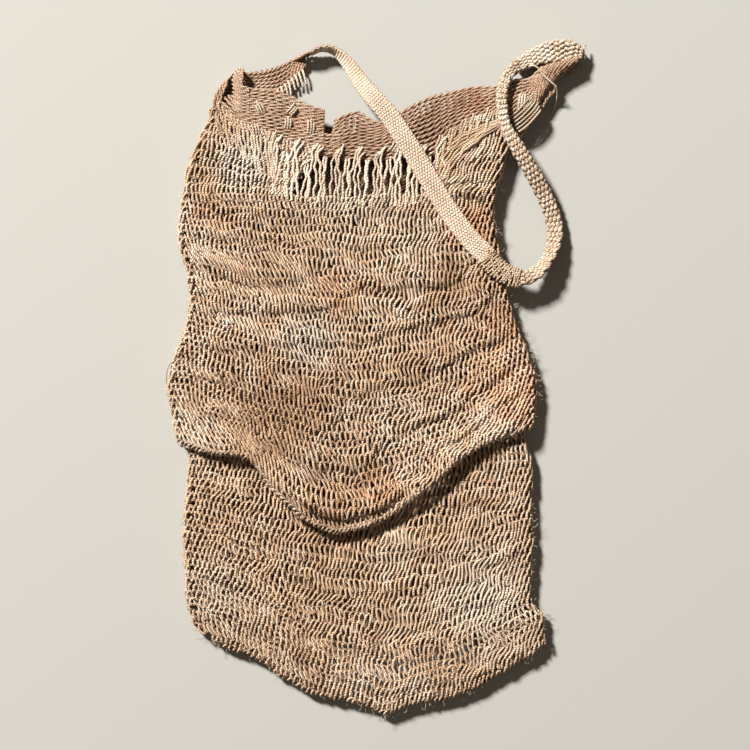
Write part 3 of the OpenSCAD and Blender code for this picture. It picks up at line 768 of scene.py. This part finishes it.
# At the right corner the netting reaches nearly to the rim, and a few cords run up along its edge.
RIGHT_CORNER_LOOP, LEFT_CORNER_LOOP = 56, 25
slanted = []
for number in range(7):
    offset = 2.2 + 1.9 * number
    start = (36 + 1.6 * number, 133 - 1.5 * number)
    route = [(*start, 12.0), (40 + 1.6 * number, 149 - 1.6 * number, 12.8),
             (52 + 0.8 * number, foot_of_rim(53) - 1.1 * offset, 13.2),
             (70, foot_of_rim(70) - 0.8 * offset, 13.3), (88, foot_of_rim(88) - 0.35 * offset, 12.9)]
    slanted.append(bare_cord(route, 1.9, 0.6, header_chance, 0.2))
for number in range(6):
    x = 47 + 6.2 * number + header_chance.uniform(-1, 1)
    edge = foot_of_rim(x)
    slanted.append(bare_cord([(x - 3, edge - 16, 12.0), (x - 1.5, edge - 7, 13.0), (x, edge - 1, 13.8),
                              (x + 1.2, edge + 3, 13.0)], 1.8, 0.5, header_chance, 0.3))
right_corner = looped_rows(upper_place, (RIGHT_CORNER_LOOP, FRONT_LOOPS), (-TOP_ROWS, 1), header_lean)
header_right = piece_of("header_right_cords", right_corner + slanted, netting_bast, None,
                        ["header_right"])
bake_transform(header_right)

# At the left corner the netting is small and tight, with short warps where it meets the rim.
short_warps = []
for number in range(17):
    x = -112 + 2.45 * number + header_chance.uniform(-0.7, 0.7)
    edge = foot_of_rim(x)
    reach = 11 + 1.2 * number + header_chance.uniform(-3, 5)
    points = [(x + 3.5, edge - reach, 11.8), (x + 1.5, edge - reach * 0.5, 13.0), (x, edge, 13.4),
              (x + 0.5, edge + 2.5, 12.4)]
    short_warps.append(bare_cord(points, 1.8, 0.6, header_chance, 0.3))
left_corner = looped_rows(upper_place, (0, LEFT_CORNER_LOOP), (-TOP_ROWS - 1, 1), header_lean, swing=2.4)
header_left = piece_of("header_left_rows", left_corner + short_warps, netting_bast, None,
                       ["header_left"])
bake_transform(header_left)

# ---- Twined rim ---------------------------------------------------------------------------------
# A stiff band about 40 mm deep: pairs of coarse cords twisted round pale warps, row above row. It is
# in two parts, with a notch between them, and turns back over the left corner.
TWINING_THICK = 1.5
WARP_PITCH = 4.2
# Coarse bast cord, browner than the netting from hands at the mouth, with deep grooves.
rim_bast = bast_string("coarse twined bast cord", "#8E6A4C", "#CAA280", "#F2DABC", ply=3.2, groove=0.5,
                       stains=[(70, 192, 16, "#F0C4A2", 0.5), (-55, 178, 14, "#F2CBAA", 0.4)], mottle=0.6)


def twined_row(path, facing, pitch, spread, thick, chance, sides=6):
    """Two cords twisted round each other along a row, which shows as slanting stitches."""
    s = distance_along(path)
    fine = np.linspace(0, s[-1], max(int(s[-1] / 0.75), 8))
    middle = at_places(fine, s, path)
    out = unit(at_places(fine, s, facing))
    along = unit(np.gradient(middle, axis=0))
    side = np.cross(along, out)
    turn = TAU * fine / pitch + chance.uniform(0, TAU) + 0.5 * np.sin(fine / 9 + chance.uniform(0, TAU))
    rows = []
    for half in (0, np.pi):
        strand = (middle + side * (spread * np.cos(turn + half))[:, None]
                  + out * (spread * 0.8 * np.sin(turn + half))[:, None])
        size = thick * (1 + 0.1 * np.sin(fine / 4 + half + chance.uniform(0, TAU)))
        # Painted shade: each cord is darker where it turns under the other.
        rows.append(string_tube(strand, out, size, sides, 1.0, 0.5 + 0.45 * np.sin(turn + half)))
    return rows


def edge_places(points, step, share):
    """Places at the given shares of the way along a smooth edge."""
    line = even(through(points, 6), step)
    return at_places(share, np.linspace(0, 1, len(line)), line)


def twined_band(low, high, z_low, z_high, rows, seed, dip=0.0, pitch=11.0):
    """Rows of twining between the lower and the upper edge of a band, with the warps inside them."""
    chance = np.random.default_rng(seed)
    share = np.linspace(0, 1, 70)
    low_at, high_at = edge_places(low, 2, share), edge_places(high, 2, share)
    wave = ripple(seed + 50, 30)
    tubes = []
    for row in range(rows):
        up = (row + 0.5) / rows
        flat = low_at + (high_at - low_at) * up
        flat = flat + np.array([0, 1]) * (0.7 * wave(flat[:, 0], flat[:, 1]))[:, None]
        z = z_low + (z_high - z_low) * up - dip * np.abs(2 * up - 1) ** 4
        z = z + 0.3 * wave(flat[:, 0], flat[:, 1] + 60)
        path = np.column_stack([flat, z + chance.uniform(-0.15, 0.15)])
        tubes += twined_row(path, all_along(path), pitch, 0.55, TWINING_THICK, chance)
    warps = []
    count = int(distance_along(low_at)[-1] / WARP_PITCH)
    for number in range(count):
        at = (number + 0.5) / count + chance.uniform(-0.004, 0.004)
        a = np.array([np.interp(at, share, c) for c in low_at.T])
        b = np.array([np.interp(at, share, c) for c in high_at.T])
        t = np.linspace(-0.02, 1.0, 14)[:, None]
        z = z_low + (z_high - z_low) * t - 1.2
        path = np.column_stack([a + (b - a) * t, z])
        # The warps inside the band are painted dark, as the shade inside it.
        warps.append(string_tube(path, all_along(path), 2.0, 6, 0.8, np.full(14, 0.05)))
    return tubes, warps


LEFT_FOOT = [(-90.5, 169.8), (-77, 164.5), (-64, 160), (-50, 158), (-36.5, 156.2)]
LEFT_TOP = [(-90.5, 203.6), (-80, 203.4), (-70, 202), (-57, 197), (-46, 190.6), (-36, 188.4)]
left_rows, left_warps = twined_band(LEFT_FOOT, LEFT_TOP, 12.2, 12.0, 16, 31, dip=1.0)
# The lower rows go on below the notch and join the two parts.
join_chance = np.random.default_rng(35)
for number in range(6):
    y = 157.2 + 2.6 * number
    joined = through([(-41, y + 0.4, 12.0), (-36, y, 12.5), (-31, y - 0.3, 12.5), (-25, y - 0.2, 12.0)], 6)
    left_rows += twined_row(joined, all_along(joined), 9.0, 0.55, TWINING_THICK, join_chance)

RIGHT_FOOT = [(-34, 155.6), (-17, 152), (0, 153), (17, 154), (41, 157), (53, 168), (69, 176), (90, 182)]
RIGHT_TOP = [(-29, 180.5), (-21, 184.5), (-13, 187.5), (-6, 183.5), (3, 179.5), (12, 184.5), (22, 190.5),
             (38, 198), (53, 201.5), (70, 203.5), (88, 205)]
right_rows, right_warps = twined_band(RIGHT_FOOT, RIGHT_TOP, 12.2, 12.0, 13, 33, dip=1.0)

# Each part is fast at its corner and lifts with the mouth further in; here it is given no body.
for side, rows, warps in [("left", left_rows, left_warps), ("right", right_rows, right_warps)]:
    twining = piece_of(f"rim_front_{side}_twining", rows, rim_bast, None,
                       [f"rim_front_{side}"])
    inner_warps = piece_of(f"rim_front_{side}_warps", warps, warp_bast, None)
    for band in (twining, inner_warps):
        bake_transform(band)

# Groups of three warps come out over the lowest rows of the band before they turn in. Their cord is
# greyer and more grooved than the header's, because it is rubbed.
worn_warp = bast_string("weathered two-ply warp cord", "#9C8266", "#D8BE9E", "#F2E2CA", ply=3.6, groove=0.5)
FLOATS = [(-74, 166, -16), (-84, 171, 10), (-62, 176, -4), (-46, 173, -3), (-80, 186, 26), (-60, 186, -40),
          (44, 163, -22), (52, 169, -20), (60, 174, -24), (68, 178, -18), (77, 181, -24), (12, 160, -30)]
NOTCH_X = -30
floats = {"left": [], "right": []}
for x, y, lean in FLOATS:
    tilt = np.radians(lean)
    for strand in (-1, 0, 1):
        t = np.linspace(0, 1, 10)
        reach = 8.5 + header_chance.uniform(-2.5, 2.5)
        sideways = strand * 1.9 + 0.5 * np.sin(np.pi * t) + header_chance.uniform(-0.2, 0.2)
        px = x + sideways * np.cos(tilt) - reach * (t - 0.2) * np.sin(tilt)
        py = y + sideways * np.sin(tilt) + reach * (t - 0.2) * np.cos(tilt)
        pz = 12.1 + 1.6 * np.sin(np.pi * np.clip(t, 0.04, 0.96)) ** 0.6
        path = np.stack([px, py, pz], 1)
        shade = np.full(10, header_chance.uniform(0.6, 0.95))
        floats["left" if x < NOTCH_X else "right"].append(
            string_tube(path, all_along(path), 1.5, 6, 0.9, shade))
for side in ("left", "right"):
    raised = piece_of(f"rim_floats_{side}", floats[side], worn_warp, None, ["rim_floats"])
    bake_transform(raised)

# ---- Left corner and back rim -------------------------------------------------------------------
# The band turns round the left end of the mouth and goes on behind it. A flap of it is bent over and
# shows at the upper left, with the ends of its warps below it.
LEFT_END = [(-113.6, 187.5), (-113.8, 190.5), (-113.4, 193.5), (-112, 196.2), (-108.4, 198.2),
            (-104.6, 198.4), (-101.6, 198.2), (-100.6, 200.6), (-100.4, 203.4), (-100.8, 206.2),
            (-101, 209), (-100.4, 211.6), (-99.6, 213.8), (-98.2, 215.8), (-96.8, 217.4), (-95.2, 217.6)]
corner_chance = np.random.default_rng(41)
corner_rows = []


def corner_row(points, steps=6, pitch=10.0, spread=0.5, facing=(0, 0, 1.0)):
    """Adds one row of twining through a few points of the corner."""
    path = through(points, steps)
    facing = all_along(path, facing)
    corner_rows.extend(twined_row(path, facing, pitch, spread, TWINING_THICK, corner_chance))


for number, (end_x, end_y) in enumerate(LEFT_END):
    start_y = 170.9 + 33.2 * number / len(LEFT_END)
    drop = 11.6 if number > 6 else 9.5
    corner_row([(-88.5, start_y + 0.4, 12.2), (-94, start_y + 0.16 * (end_y - start_y), 12.3),
                ((end_x - 92) / 2, start_y + 0.56 * (end_y - start_y), 12.4),
                (end_x + 1.5, end_y - 0.8, drop), (end_x, end_y, drop - 2.5)], spread=0.52)
for number in range(3):
    inset = 0.3 + 2.0 * number
    corner_row([(-114.3 + inset * 0.6, 184.5, 9.5), (-114 + inset, 190, 10.6),
                (-112.8 + inset, 197, 11.2), (-109.6 + inset * 0.8, 203, 11.2),
                (-105.6 + inset * 0.3, 208.2, 10.4)], pitch=9.0)
# The turned edge under these rows, down to the table, and the inside of the fold seen through its eye.
for level in range(4):
    z = 8.0 - 2.0 * level
    corner_row([(-113.2, 184, z), (-113.4, 190, z), (-112.4, 197, z), (-108.8, 203.5, z),
                (-103.6, 210, z), (-97.2, 216.4, z), (-92.5, 214.5, z * 0.8)], pitch=9.0,
               facing=(-1, 0.4, 0.3))
for number in range(14):
    y = 175 + 2.7 * number
    left = np.interp(y, [170, 184, 197, 210], [-104, -112, -111, -103])
    corner_row([(left, y, 2.0), (-100, y + 0.4, 2.0), (-88, y - 0.6, 2.0)], 8, pitch=9.0)
piece_of("rim_corner_turn", corner_rows, rim_bast, "root", ["rim_corner"])

BACK_FOOT = [(-89, 170), (-64, 161), (-36, 157), (0, 154), (41, 158), (60, 172), (88, 182)]
BACK_TOP = [(-89, 197), (-60, 189), (-35, 177.5), (0, 171.5), (20, 179), (40, 189), (88, 197)]
back_rows, back_warps = twined_band(BACK_FOOT, BACK_TOP, 1.9, 1.9, 10, 43)
piece_of("rim_back_twining", back_rows + back_warps, rim_bast, "root", ["rim_back"])

FLAP_FOOT = [(-94, 201), (-80, 200), (-69, 200), (-60, 206), (-55.5, 213), (-49.5, 219)]
FLAP_TOP = [(-94, 215.5), (-82, 217), (-70, 220), (-60, 224), (-50, 228)]
flap_rows, flap_warps = twined_band(FLAP_FOOT, FLAP_TOP, 3.4, 3.4, 7, 45, pitch=7.5)
piece_of("rim_back_flap_twining", flap_rows + flap_warps, rim_bast, "root", ["rim_back_flap"])
fringe = []
for number in range(9):
    x, y = -72 + 2.5 * number, 201.5 + 2.0 * number
    reach = 9 + corner_chance.uniform(-2, 2)
    end_x = x + 3.2 + corner_chance.uniform(-1, 1)
    path = through([(x, y, 4.6), (x + 1.4, y - 0.4 * reach, 5.0), (end_x, y - reach, 3.6)], 6)
    fringe.append(string_tube(path, all_along(path), 1.6, 6))
piece_of("rim_flap_fringe_ends", fringe, warp_bast, "root", ["rim_flap_fringe"])

# ---- Root of the long strap ---------------------------------------------------------------------
# The curled end of the flap, where its rows of coarse cord turn up on edge and run into the long
# strap.
root_rows = []
for number in range(4):
    z = 1.6 + 2.6 * number
    path = through([(-58, 223.0 + 0.3 * number, 2.5 + 0.4 * number), (-53, 225.5, 2.4 + 0.8 * z * 0.6),
                    (-49.5, 227.2, z), (-46.5, 228.4, z + 0.6), (-42, 230.2, z * 0.7 + 3)], 6)
    root_rows += twined_row(path, all_along(path, (0.2, 1.0, 0.2)), 5.4, 0.7, 1.4, corner_chance)
piece_of("strap_root_turn", root_rows, rim_bast, "root", ["strap_root_seam"])

# ---- Horn ---------------------------------------------------------------------------------------
# The right end of the rim, gathered like a neck and pulled out. Its rows close up towards the tip,
# where the cords of the short strap run in.
HORN_LOW = [(93, 170), (100, 174), (106, 180), (111.5, 187), (116.5, 196), (121.5, 204), (127, 210.5),
            (134, 215.6), (141, 221.5)]
HORN_HIGH = [(89, 204.5), (95, 208.5), (101, 210), (108, 210.5), (113, 215), (117, 219.5), (123, 222.5),
             (132, 225), (142, 225.5)]
horn_share = np.linspace(0, 1, 60)
horn_low_at, horn_high_at = (edge_places(edge, 1.5, horn_share) for edge in (HORN_LOW, HORN_HIGH))
middle = (horn_low_at + horn_high_at) / 2
half = (horn_high_at - horn_low_at) / 2
horn_rows = []
horn_chance = np.random.default_rng(51)
# Places round the flattened neck: across it from -1 to 1, and height from -1, underneath, to 1, on top.
top_side = [(across, (1 - abs(across) ** 3) ** 0.5) for across in np.linspace(-0.93, 0.93, 13)]
round_neck = top_side + [(a, -h) for a, h in top_side] + [(-1, 0.0), (1, 0.0)]
for across, up in round_neck:
    flat = middle + half * across
    sag = 0.35 * np.sin(horn_share * 9 + 4 * across)
    path = np.column_stack([flat, 6.4 + 4.6 * up * np.ones(60) + sag])
    facing = np.column_stack([half / np.linalg.norm(half, axis=1)[:, None] * across * 0.8,
                              np.full(60, up * 1.2)])
    horn_rows += twined_row(path, unit(facing), 10.0, 0.5, 1.45, horn_chance)
# Torn rows hang from the lower edge of the neck.
for number in range(7):
    x, y = 97 + 3.4 * number, 166 + 4.6 * number
    path = through([(x - 3, y - 2, 7), (x + 2, y + 1.5 + horn_chance.uniform(-1, 1), 6.5),
                    (x + 7, y + 7 + horn_chance.uniform(-1, 1), 7.5), (x + 9, y + 12, 8)], 5)
    horn_rows += twined_row(path, all_along(path, (0.3, -0.3, 1.0)), 7.0, 0.5, 1.4, horn_chance)
piece_of("rim_horn_rows", horn_rows, rim_bast, "root", ["rim_horn"])

TIP_ROUTE = [(99, 218.6, 9.6, 0.7, 8), (106, 223, 9.9, 0.85, 6), (114, 226.4, 10.2, 1.05, 0),
             (123, 229, 10.4, 1.2, 0), (132, 229.8, 10.2, 1.25, 0), (139, 228.6, 9.4, 1.1, 0),
             (145, 227, 7.6, 0.7, 0)]
# The same coarse bast as in the short strap, painted paler to make up for the shade on the tilted tip.
painted_paler_tip_bast = bast_string("bast plait at the tip, painted paler", "#B49878", "#F0D4B6", "#FFF8EC", ply=2.6,
                          groove=0.45, mottle=0.6)
# Three layers of plait, one above the other, make the tip as thick as it is.
tip_layers = []
for drop in (0, 3.6, 7.0):
    route = [(x, y, max(z - drop, 1.6), share, tilt) for x, y, z, share, tilt in TIP_ROUTE]
    tip_layers += plait(route, 13.6, 9, 24, 2.5, 0.6, seed=61 + int(drop))
piece_of("horn_tip_plait", tip_layers, painted_paler_tip_bast, "root", ["horn_tip"])

slanting = []
for number in range(6):
    x, y = 92.5 + 1.5 * number, 182 - 1.9 * number
    bend_y = y + 11.5 + horn_chance.uniform(-0.6, 0.6)
    path = through([(x, y, 11.0), (x + 6, y + 4.4, 12.3), (x + 13, bend_y, 12.2),
                    (x + 19.5 - 0.8 * number, y + 19.5 - 0.8 * number, 10.6)], 5)
    shade = np.full(len(path), horn_chance.uniform(0.45, 0.95))
    slanting.append(string_tube(path, all_along(path), 1.45, 6, 0.9, shade))
for number in range(3):
    x = 100.5 + 1.9 * number
    path = through([(x - 0.8, 188.5, 11.2), (x - 0.3, 193, 12.5), (x + 0.6, 199, 11.6)], 5)
    slanting.append(string_tube(path, all_along(path), 1.6, 6, 0.9))
piece_of("horn_cords_slanting", slanting, worn_warp, "root", ["horn_cords"])

frayed = []
FRAY_ROOTS = [((136.5, 213, 6), (142.5, 221.5, 5)), ((146.5, 224.5, 7), (147, 234, 6)),
              ((144.5, 222, 6), (147, 226.5, 5.5)), ((138, 212, 5), (144.5, 219.5, 3.5))]
for start, end in FRAY_ROOTS:
    for strand in range(9):
        jitter = horn_chance.uniform(-1.3, 1.3, (3, 3))
        points = [np.array(start) + jitter[0] * 0.5, (np.array(start) + end) / 2 + jitter[1],
                  np.array(end) + jitter[2]]
        path = through(points, 6)
        frayed.append(string_tube(path, all_along(path, (0.2, 0.1, 1.0)), 0.45, 4))
piece_of("horn_fray_fibres", frayed, bleached, "root", ["horn_fray"])

# ---- Loose fibres -------------------------------------------------------------------------------
# Fine ends of bast stand out of the old string along both sides and the base, and lie here and there on
# the walls.
fibre_chance = np.random.default_rng(71)


def fibre(x, y, z, out_x, out_y):
    """One fine end that leaves the string in the given direction and curls."""
    reach = fibre_chance.uniform(1.5, 5.5)
    way = np.array([out_x, out_y]) + fibre_chance.uniform(-0.9, 0.9, 2)
    way = way / max(np.linalg.norm(way), 0.2) * reach
    curl = fibre_chance.uniform(-0.35, 0.35) * reach
    tip_z = max(z + fibre_chance.uniform(-1.5, 1.0), 0.4)
    points = [(x, y, z), (x + 0.55 * way[0] - curl * 0.6, y + 0.55 * way[1] + curl, (z + tip_z) / 2 + 0.3),
              (x + way[0], y + way[1], tip_z)]
    path = through(points, 4)
    return string_tube(path, all_along(path, (0.1, 0.2, 1.0)), 0.24, 4)


upper_fibres, lower_fibres = [], []
for number in range(110):
    y = fibre_chance.uniform(-40, 175)
    z = fibre_chance.uniform(2, 10)
    upper_fibres.append(fibre(np.interp(y, *upper_left) + 0.5, y, z, -1, 0))
    y = fibre_chance.uniform(-30, 150)
    upper_fibres.append(fibre(np.interp(y, *upper_right) - 0.5, y, z, 1, 0))
    across, row = fibre_chance.uniform(0.04, 0.96), fibre_chance.uniform(1, UPPER_ROWS - 1)
    x, y, z = (float(value) for value in upper_front(np.array(across), np.array(row)))
    upper_fibres.append(fibre(x, y, z + 1.4, 0, 0))
for number in range(80):
    y = fibre_chance.uniform(-182, -78)
    z = fibre_chance.uniform(2, 8)
    lower_fibres.append(fibre(np.interp(y, *lower_left) + 0.5, y, z, -1, 0))
    lower_fibres.append(fibre(np.interp(y, *lower_right) - 0.5, y, z, 1, 0))
    x = fibre_chance.uniform(-112, 116)
    lower_fibres.append(fibre(x, np.interp(x, *base_edge) + 0.8, z, 0, -1))
    across, row = fibre_chance.uniform(0.04, 0.96), fibre_chance.uniform(6, LOWER_ROWS - 1)
    x, y, z = (float(value) for value in lower_front(np.array(across), np.array(row)))
    lower_fibres.append(fibre(x, y, z + 1.3, 0, 0))
# One loop has pulled out of the left edge, just above the fold.
pulled = through([(-141.5, 12, 9), (-145.5, 9, 8), (-147.4, 2, 6.5), (-147.2, -5, 5.5), (-145, -12, 6),
                  (-142, -17, 8)], 6)
upper_fibres.append(string_tube(pulled, all_along(pulled, (0.1, 0.2, 1.0)), 0.9, 6, 1.0,
                                np.full(len(pulled), 0.3)))
piece_of("loose_fibres_upper", upper_fibres, bleached, "root")
piece_of("loose_fibres_lower", lower_fibres, bleached, "lower_bag")

# ---- Table and light ----------------------------------------------------------------------------
# A plain pale table, and studio light: one soft key from the upper left, low enough for the fold to
# throw a shadow, and a weak even fill.
table_mesh = bpy.data.meshes.new("table")
table_mesh.from_pydata([(-2, -2, 0), (2, -2, 0), (2, 2, 0), (-2, 2, 0)], [], [(0, 1, 2, 3)])
table = bpy.data.objects.new("table", table_mesh)
table.location.z = -0.2 * MM
# Uncoated paper: plain and matt, so it shows nothing but the shadow.
paper = bpy.data.materials.new("pale matt paper")
paper.use_nodes = True
sheet_face = paper.node_tree.nodes["Principled BSDF"]
sheet_face.inputs["Base Color"].default_value = linear("#A7A7A4")
sheet_face.inputs["Roughness"].default_value = 0.9
table_mesh.materials.append(paper)
bpy.context.scene.collection.objects.link(table)


def soft_light(name, place, size, power, tint):
    """A square light that faces the middle of the bag."""
    data = bpy.data.lights.new(name, "AREA")
    data.size = size
    data.energy = power
    data.color = linear(tint)[:3]
    light = bpy.data.objects.new(name, data)
    light.location = place
    light.rotation_euler = (-Vector(place)).to_track_quat("-Z", "Y").to_euler()
    bpy.context.scene.collection.objects.link(light)


soft_light("key light", (-3.4, 4.1, 3.9), 0.9, 1240, "#FFFAF2")
soft_light("fill light", (0.9, -0.6, 1.6), 1.2, 1.2, "#FFF6EA")
studio = bpy.data.worlds.new("studio")
studio.use_nodes = True
surroundings = studio.node_tree.nodes["Background"]
surroundings.inputs["Color"].default_value = linear("#F0DEC4")
surroundings.inputs["Strength"].default_value = 0.12
bpy.context.scene.world = studio
bpy.context.scene.view_settings.view_transform = "Standard"
